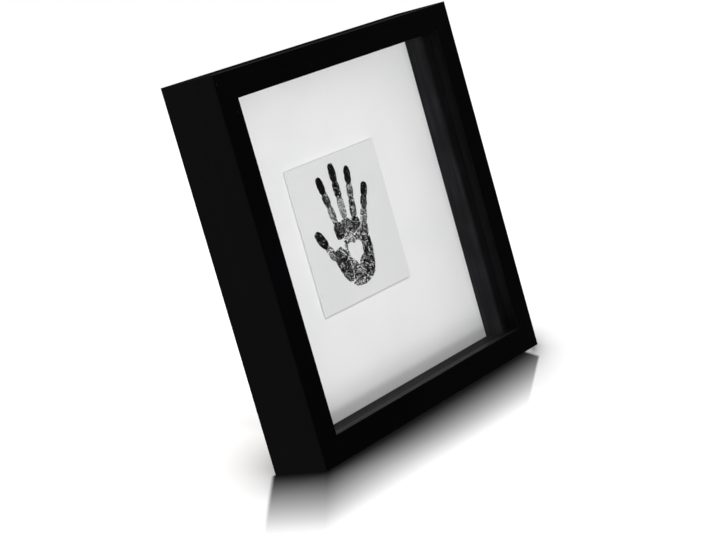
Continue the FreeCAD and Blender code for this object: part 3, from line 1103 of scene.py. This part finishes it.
steelLook = {
    "bright": paint(206, 207, 204),
    "dull": paint(150, 152, 150),
    "passivated": paint(196, 190, 168),
    "lineRange": (0.3, 0.7),
    "hueScale": 130.0,
    "hueRange": (0.45, 0.7),
    "hueShare": 0.45,
    "spangleScale": 700.0,
    "rough": (0.26, 0.42),
    "spangleRough": 0.10,
    "lineHeight": 0.7,
    "spangleHeight": 0.2,
    "bump": (0.15, 0.05 * mm),
}
rubberLook = {
    "grey": paint(62, 62, 64),
    "dust": paint(84, 84, 84),
    "dustScale": 420.0,
    "dustRange": (0.45, 0.75),
    "fineScale": 2400.0,
    "fineRange": (0.3, 0.7),
    "rough": (0.62, 0.78),
    "specular": 0.35,
    "bump": (0.25, 0.06 * mm),
}
tapeLook = {
    "cellWall": (0.62, 0.62, 0.60, 1.0),
    "cell": (0.80, 0.80, 0.78, 1.0),
    "cellScale": 3200.0,
    "roughRange": (0.1, 0.7),
    "rough": (0.6, 0.85),
    "bump": (0.4, 0.08 * mm),
}


def makeZinc(name, drawn):
    material, tree = newMaterial(name)
    look = steelLook
    place = objectPlace(tree)
    lines = useGroup(tree, woodGrain, {"Position": place, "Stretch": drawn})["Streak"]
    spangle = cellPattern(tree, look["spangleScale"])["Color"]
    facets = addStep(tree, "ShaderNodeSeparateColor", {"Color": spangle})
    color = mixColor(tree, smooth(tree, lines, *look["lineRange"]), look["bright"], look["dull"])
    hue = smooth(tree, noise(tree, place, look["hueScale"]), *look["hueRange"], 0.0, look["hueShare"])
    rough = smooth(tree, lines, *look["lineRange"], *look["rough"])
    height = times(tree, facets, look["spangleHeight"])
    height = timesPlus(tree, lines, look["lineHeight"], height)
    dress(tree, {
        "Base Color": mixColor(tree, hue, color, look["passivated"]),
        "Metallic": 1.0,
        "Roughness": timesPlus(tree, facets, look["spangleRough"], rough),
        "Normal": bump(tree, height, *look["bump"]),
    })
    return material


def makeRubber():
    material, tree = newMaterial("greyRubber")
    look = rubberLook
    place = objectPlace(tree)
    dust = smooth(tree, noise(tree, place, look["dustScale"], raggedDetail), *look["dustRange"])
    fine = noise(tree, place, look["fineScale"])
    dress(tree, {
        "Base Color": mixColor(tree, dust, look["grey"], look["dust"]),
        "Roughness": smooth(tree, fine, *look["fineRange"], *look["rough"]),
        "Specular IOR Level": look["specular"],
        "Normal": bump(tree, fine, *look["bump"]),
    })
    return material


def makeFoamTape():
    material, tree = newMaterial("foamTape")
    look = tapeLook
    cells = cellPattern(tree, look["cellScale"])["Distance"]
    dress(tree, {
        "Base Color": mixColor(tree, cells, look["cellWall"], look["cell"]),
        "Roughness": smooth(tree, cells, *look["roughRange"], *look["rough"]),
        "Normal": bump(tree, cells, *look["bump"]),
    })
    return material


lacquerLevel = makeLacquer("blackLacquerLevel", False)
lacquerUpright = makeLacquer("blackLacquerUpright", True)
zincSheet = makeZinc("zincSheet", (900.0, 900.0, 60.0))
zincTurned = makeZinc("zincTurned", (700.0, 120.0, 700.0))
kraft = makeKraft()
rubber = makeRubber()
foamTape = makeFoamTape()

finishes = {
    "top_rail": lacquerLevel,
    "bottom_rail": lacquerLevel,
    "left_stile": lacquerUpright,
    "right_stile": lacquerUpright,
    "glass_pane": makeGlass(),
    "mount_board": makeMountBoard(),
    "print_card": makePrintCard(),
    "foam_backing": makeFoamBoard(),
    "back_panel": makeFibreboard(),
    "card_packer": kraft,
    "card_foam_pads": foamTape,
    "wall_bumpers": rubber,
    "corner_v_nails": zincTurned,
    "turn_button_screws": zincTurned,
    "hanger_screws": zincTurned,
}
for name in nodes:
    if name.endswith("_spacer"):
        upright = name.startswith(("left", "right"))
        finishes[name] = makeSpacer("blackSpacer_" + name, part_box(name), upright)
    elif name not in finishes:
        finishes[name] = zincSheet
for name, material in finishes.items():
    nodes[name].data.materials.clear()
    nodes[name].data.materials.append(material)
print("finishes made for", len(finishes), "nodes")


# Pieces built here in place of plain CAD solids

def plainPiece(name, mesh, material, replaced, sharpAngle=None):
    # the finished piece: a mesh at the origin that rides on the frame
    mesh.materials.clear()
    mesh.materials.append(material)
    if sharpAngle is not None:
        mesh.shade_smooth()
        mesh.set_sharp_from_angle(angle=math.radians(sharpAngle))
    piece = bpy.data.objects.new(name, mesh)
    scene.collection.objects.link(piece)
    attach(piece, "frame")
    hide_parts(replaced)
    return piece


def bakedMesh(holder):
    # what an object's modifiers make of it, as a plain mesh, and the object removed
    bpy.context.view_layer.update()
    shown = holder.evaluated_get(bpy.context.evaluated_depsgraph_get())
    mesh = bpy.data.meshes.new_from_object(shown)
    bpy.data.objects.remove(holder)
    return mesh


def loftRings(mesh, rings):
    # a closed skin over rings of equally many points, in order, with both ends shut
    build = bmesh.new()
    made = [[build.verts.new(point) for point in ring] for ring in rings]
    for lower, upper in zip(made, made[1:]):
        for step in range(len(lower)):
            after = (step + 1) % len(lower)
            build.faces.new((lower[step], lower[after], upper[after], upper[step]))
    build.faces.new(list(reversed(made[0])))
    build.faces.new(made[-1])
    bmesh.ops.recalc_face_normals(build, faces=build.faces)
    scratch = bpy.data.meshes.new("loft")
    build.to_mesh(scratch)
    build.free()
    merged = bmesh.new()
    merged.from_mesh(mesh)
    merged.from_mesh(scratch)
    merged.to_mesh(mesh)
    merged.free()
    bpy.data.meshes.remove(scratch)


def roundRing(x, y, z, radius, sides):
    ring = []
    for side in range(sides):
        angle = 2 * math.pi * side / sides
        ring.append((x + radius * math.cos(angle), y, z + radius * math.sin(angle)))
    return ring


def dome(radius, foot, height, power, steps):
    # radius and height of each step up a rounded crown, from just past its rim to just before its middle
    points = []
    for step in range(1, steps):
        angle = step * math.pi / 2 / steps
        points.append((radius * math.cos(angle) ** power, foot + height * math.sin(angle)))
    return points


# Foam pads: film on both faces, the soft sides drawn in between them

padLook = {
    "side": 20.0 * mm,
    "corner": 1.6 * mm,
    "cornerSteps": 6,
    "filmShare": 0.09,
    "filmInset": 0.06 * mm,
    "waistInset": 0.22 * mm,
    "waistSteps": 7,
    "waistPower": 0.5,
    "sharpAngle": 35,
    "fill": 0.9,
}


def roundedSquare(middle, half, depthY):
    corner = padLook["corner"]
    steps = padLook["cornerSteps"]
    ring = []
    for quarter in range(4):
        signX = 1 if quarter in (0, 3) else -1
        signZ = 1 if quarter in (0, 1) else -1
        for step in range(steps + 1):
            angle = quarter * math.pi / 2 + step * math.pi / 2 / steps
            across = middle[0] + signX * (half - corner) + corner * math.cos(angle)
            rise = middle[1] + signZ * (half - corner) + corner * math.sin(angle)
            ring.append((across, depthY, rise))
    return ring


def makeFoamPads():
    look = padLook
    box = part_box("card_foam_pads")
    mesh = bpy.data.meshes.new("foamPads")
    depth = box[1].y - box[0].y
    film = look["filmShare"]
    insets = [(0.0, look["filmInset"]), (film, 0.0)]
    for step in range(look["waistSteps"]):
        share = (step + 0.5) / look["waistSteps"]
        drawn = look["waistInset"] * math.sin(math.pi * share) ** look["waistPower"]
        insets.append((film + (1 - 2 * film) * share, drawn))
    insets += [(1 - film, 0.0), (1.0, look["filmInset"])]
    half = look["side"] / 2
    for x in (box[0].x + half, box[1].x - half):
        for z in (box[0].z + half, box[1].z - half):
            rings = []
            for share, inset in insets:
                rings.append(roundedSquare((x, z), half - inset, box[0].y + depth * share))
            loftRings(mesh, rings)
    piece = plainPiece("foamPads", mesh, foamTape, "card_foam_pads", look["sharpAngle"])


# Wall bumpers: moulded rubber buttons, drawn in to a domed crown

bumperLook = {
    "sides": 72,
    "footShare": 0.965,
    "footHeightShare": 0.08,
    "shoulderShare": 0.5,
    "shoulderRadiusShare": 0.975,
    "crownSteps": 14,
    "crownPower": 0.55,
    "tipShare": 0.06,
    "sharpAngle": 40,
}


def makeBumpers():
    look = bumperLook
    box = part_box("wall_bumpers")
    radius = (box[1].z - box[0].z) / 2
    height = box[1].y - box[0].y
    middleZ = (box[0].z + box[1].z) / 2
    shoulder = look["shoulderShare"]
    out = look["shoulderRadiusShare"]
    profile = [(look["footShare"], 0.0), (1.0, look["footHeightShare"]), (out, shoulder)]
    profile += dome(out, shoulder, 1.0 - shoulder, look["crownPower"], look["crownSteps"])
    profile.append((look["tipShare"], 1.0))
    mesh = bpy.data.meshes.new("bumpers")
    for x in (box[0].x + radius, box[1].x - radius):
        rings = []
        for outShare, heightShare in profile:
            y = box[0].y + height * heightShare
            rings.append(roundRing(x, y, middleZ, radius * outShare, look["sides"]))
        loftRings(mesh, rings)
    plainPiece("bumpers", mesh, rubber, "wall_bumpers", look["sharpAngle"])


# Screws: one turned body with a cross recess, threads on spirals, set out by Geometry Nodes

screwLook = {
    "sides": 48,
    "headRadius": 2.9 * mm,
    "headHeight": 1.7 * mm,
    "headSteps": 10,
    "headPower": 0.62,
    "headRim": 0.15 * mm,
    "neckRadius": 1.42 * mm,
    "neckLength": 3.4 * mm,
    "rootRadius": 1.08 * mm,
    "length": 12.0 * mm,
    "tipLength": 2.5 * mm,
    "tipRadius": 0.08 * mm,
    "threadRadius": 0.3 * mm,
    "threadSides": 3,
    "threadSteps": 24,
    "threadTurns": 5,
    "tipTurns": 2,
    "crossLength": 3.2 * mm,
    "crossWidth": 0.7 * mm,
    "crossDepth": 0.9 * mm,
    "crossFloorShare": 0.55,
    "seed": 4,
    "sharpAngle": 32,
}


def crossRing(shrink, y):
    arm = screwLook["crossLength"] / 2 * shrink
    half = screwLook["crossWidth"] / 2 * shrink
    ring = []
    for turnX, turnZ in ((1, 0), (0, 1), (-1, 0), (0, -1)):
        for x, z in ((arm, -half), (arm, half), (half, half)):
            ring.append((x * turnX - z * turnZ, y, x * turnZ + z * turnX))
    return ring


def makeScrewBody():
    look = screwLook
    profile = [
        (look["tipRadius"], -look["length"]),
        (look["rootRadius"], look["tipLength"] - look["length"]),
        (look["rootRadius"], -look["neckLength"] - look["headRim"]),
        (look["neckRadius"], -look["neckLength"]),
        (look["neckRadius"], 0.0),
        (look["headRadius"] - look["headRim"], 0.0),
        (look["headRadius"], look["headRim"]),
    ]
    domeHeight = look["headHeight"] - look["headRim"]
    profile += dome(look["headRadius"], look["headRim"], domeHeight, look["headPower"], look["headSteps"])
    profile.append((look["tipRadius"], look["headHeight"]))
    mesh = bpy.data.meshes.new("screwBody")
    loftRings(mesh, [roundRing(0.0, y, 0.0, radius, look["sides"]) for radius, y in profile])

    cutterMesh = bpy.data.meshes.new("crossCutter")
    floorY = look["headHeight"] - look["crossDepth"]
    overY = look["headHeight"] + look["crossDepth"]
    floorShare = look["crossFloorShare"]
    loftRings(cutterMesh, [crossRing(floorShare, floorY), crossRing(2.0 - floorShare, overY)])
    cutter = bpy.data.objects.new("crossCutter", cutterMesh)
    body = bpy.data.objects.new("screwBody", mesh)
    for holder in (cutter, body):
        scene.collection.objects.link(holder)
    cut = body.modifiers.new("cross", "BOOLEAN")
    cut.operation = "DIFFERENCE"
    cut.solver = "EXACT"
    cut.object = cutter
    finished = bpy.data.objects.new("screw", bakedMesh(body))
    bpy.data.objects.remove(cutter)
    finished.data.shade_smooth()
    finished.data.set_sharp_from_angle(angle=math.radians(look["sharpAngle"]))
    scene.collection.objects.link(finished)
    return finished


def newGeometryTree(name, takes):
    tree = bpy.data.node_groups.new(name, "GeometryNodeTree")
    tree.is_modifier = True
    tree.interface.new_socket("Geometry", in_out="INPUT", socket_type="NodeSocketGeometry")
    for label, kind in takes.items():
        tree.interface.new_socket(label, in_out="INPUT", socket_type="NodeSocket" + kind)
    tree.interface.new_socket("Geometry", in_out="OUTPUT", socket_type="NodeSocketGeometry")
    return tree, tree.nodes.new("NodeGroupInput").outputs, tree.nodes.new("NodeGroupOutput").inputs


def useTree(holder, tree, values):
    modifier = holder.modifiers.new(tree.name, "NODES")
    modifier.node_group = tree
    for item in tree.interface.items_tree:
        if item.in_out == "INPUT" and item.name in values:
            modifier[item.identifier] = values[item.name]


def joined(tree, parts):
    join = tree.nodes.new("GeometryNodeJoinGeometry")
    for part in parts:
        tree.links.new(part, join.inputs[0])
    return join.outputs[0]


def endTree(tree, given, shape, finish):
    # instances are made real, because the export drops them
    real = addStep(tree, "GeometryNodeRealizeInstances", {"Geometry": shape})
    done = addStep(tree, "GeometryNodeSetMaterial", {"Geometry": real, "Material": finish})
    tree.links.new(done, given[0])


def threadSpiral(tree, taken, turns, endRadius, length):
    return addStep(tree, "GeometryNodeCurveSpiral", {
        "Resolution": screwLook["threadSteps"],
        "Rotations": taken[turns],
        "Start Radius": taken["Thread Centre"],
        "End Radius": taken[endRadius],
        "Height": taken[length],
    })


def makeScrewTree():
    takes = {
        "Body": "Object",
        "Thread Centre": "Float",
        "Thread Radius": "Float",
        "Thread Length": "Float",
        "Thread Turns": "Float",
        "Tip Length": "Float",
        "Tip Turns": "Float",
        "Seed": "Int",
        "Finish": "Material",
    }
    tree, taken, given = newGeometryTree("screwSet", takes)
    shank = threadSpiral(tree, taken, "Thread Turns", "Thread Centre", "Thread Length")
    tip = threadSpiral(tree, taken, "Tip Turns", "Thread Radius", "Tip Length")
    offset = joinVector(tree, z=taken["Thread Length"])
    tip = addStep(tree, "GeometryNodeTransform", {"Geometry": tip, "Translation": offset})
    section = {"Resolution": screwLook["threadSides"], "Radius": taken["Thread Radius"]}
    threads = addStep(tree, "GeometryNodeCurveToMesh", {
        "Curve": joined(tree, (shank, tip)),
        "Profile Curve": addStep(tree, "GeometryNodeCurvePrimitiveCircle", section),
        "Fill Caps": True,
    })
    threads = addStep(tree, "GeometryNodeTransform", {
        "Geometry": threads,
        "Translation": (0, -screwLook["neckLength"], 0),
        "Rotation": (math.pi / 2, 0, 0),
    })
    body = addNode(tree, "GeometryNodeObjectInfo", {"Object": taken["Body"]}).outputs["Geometry"]
    spread = {"Min": 0.0, "Max": math.pi / 2, "Seed": taken["Seed"]}
    turn = addNode(tree, "FunctionNodeRandomValue", spread, data_type="FLOAT").outputs["Value"]
    placed = addStep(tree, "GeometryNodeInstanceOnPoints", {
        "Points": taken["Geometry"],
        "Instance": joined(tree, (body, threads)),
        "Rotation": joinVector(tree, y=turn),
    })
    endTree(tree, given, placed, taken["Finish"])
    return tree


def makeScrews():
    look = screwLook
    body = makeScrewBody()
    tree = makeScrewTree()
    values = {
        "Body": body,
        "Thread Centre": look["rootRadius"] + look["threadRadius"] / 3,
        "Thread Radius": look["threadRadius"],
        "Thread Length": look["length"] - look["neckLength"] - look["tipLength"],
        "Thread Turns": float(look["threadTurns"]),
        "Tip Length": look["tipLength"] - look["threadRadius"],
        "Tip Turns": float(look["tipTurns"]),
        "Seed": look["seed"],
        "Finish": zincTurned,
    }
    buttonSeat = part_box("turn_button_screws")[1].y - look["headHeight"]
    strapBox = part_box("hanger_screws")
    strapSeat = strapBox[1].y - look["headHeight"]
    buttonPlaces = []
    strapPlaces = []
    for joint in frame["joints"]:
        place = Vector(joint["pos_m"])
        if joint["name"].startswith("turn_button"):
            buttonPlaces.append((place.x, buttonSeat, place.z))
        else:                  # a ring hangs above its strap's two screws
            for z in (strapBox[0].z + look["headRadius"], strapBox[1].z - look["headRadius"]):
                strapPlaces.append((place.x, strapSeat, z))
    for name, node, places in (
        ("buttonScrews", "turn_button_screws", buttonPlaces),
        ("hangerScrews", "hanger_screws", strapPlaces),
    ):
        mesh = bpy.data.meshes.new(name + "Places")
        mesh.from_pydata(places, [], [])
        holder = bpy.data.objects.new(name + "Places", mesh)
        scene.collection.objects.link(holder)
        useTree(holder, tree, values)
        plainPiece(name, bakedMesh(holder), zincTurned, node)
    bpy.data.objects.remove(body)


# Corrugated packer: two liners and a waved sheet between them

packerLook = {
    "liner": 0.3 * mm,
    "wave": 0.25 * mm,
    "pitch": 7.4 * mm,
    "stepsPerWave": 12,
    "sharpAngle": 50,
}


def makePackerTree():
    takes = {
        "Low": "Vector",
        "High": "Vector",
        "Liner": "Float",
        "Wave Sheet": "Float",
        "Pitch": "Float",
        "Steps": "Int",
        "Finish": "Material",
    }
    tree, taken, given = newGeometryTree("corrugatedBoard", takes)
    span = splitVector(tree, vectorCalc(tree, "SUBTRACT", taken["High"], taken["Low"]))
    total = vectorCalc(tree, "ADD", taken["High"], taken["Low"])
    centre = splitVector(tree, vectorCalc(tree, "MULTIPLY", total, (0.5, 0.5, 0.5)))
    low = splitVector(tree, taken["Low"])
    high = splitVector(tree, taken["High"])
    ends = [joinVector(tree, side["X"], centre["Y"], centre["Z"]) for side in (low, high)]
    line = addStep(tree, "GeometryNodeCurvePrimitiveLine", {"Start": ends[0], "End": ends[1]})
    line = addStep(tree, "GeometryNodeResampleCurve", {"Curve": line, "Count": taken["Steps"]})
    here = splitVector(tree, addStep(tree, "GeometryNodeInputPosition"))
    phase = times(tree, calc(tree, "DIVIDE", here["X"], taken["Pitch"]), 2 * math.pi)
    room = minus(tree, span["Y"], times(tree, taken["Liner"], 2.0))
    swing = times(tree, minus(tree, room, taken["Wave Sheet"]), 0.5)
    offset = joinVector(tree, y=times(tree, calc(tree, "SINE", phase), swing))
    line = addStep(tree, "GeometryNodeSetPosition", {"Geometry": line, "Offset": offset})
    line = addStep(tree, "GeometryNodeSetCurveNormal", {"Curve": line}, mode="Z_UP")
    section = {"Width": taken["Wave Sheet"], "Height": span["Z"]}
    wave = addStep(tree, "GeometryNodeCurveToMesh", {
        "Curve": line,
        "Profile Curve": addStep(tree, "GeometryNodeCurvePrimitiveQuadrilateral", section),
        "Fill Caps": True,
    })
    sheets = [wave]
    linerSize = joinVector(tree, span["X"], taken["Liner"], span["Z"])
    halfLiner = times(tree, taken["Liner"], 0.5)
    for y in (calc(tree, "ADD", low["Y"], halfLiner), minus(tree, high["Y"], halfLiner)):
        place = joinVector(tree, centre["X"], y, centre["Z"])
        liner = addStep(tree, "GeometryNodeMeshCube", {"Size": linerSize})
        sheets.append(addStep(tree, "GeometryNodeTransform", {"Geometry": liner, "Translation": place}))
    endTree(tree, given, joined(tree, sheets), taken["Finish"])
    return tree


def makePacker():
    look = packerLook
    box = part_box("card_packer")
    waves = (box[1].x - box[0].x) / look["pitch"]
    holder = bpy.data.objects.new("packerPlace", bpy.data.meshes.new("packerPlace"))
    scene.collection.objects.link(holder)
    useTree(holder, makePackerTree(), {
        "Low": tuple(box[0]),
        "High": tuple(box[1]),
        "Liner": look["liner"],
        "Wave Sheet": look["wave"],
        "Pitch": look["pitch"],
        "Steps": int(waves * look["stepsPerWave"]),
        "Finish": kraft,
    })
    mesh = bakedMesh(holder)
    plainPiece("corrugatedPacker", mesh, kraft, "card_packer", look["sharpAngle"])


makeFoamPads()
makeBumpers()
makeScrews()
makePacker()
print("pieces built")
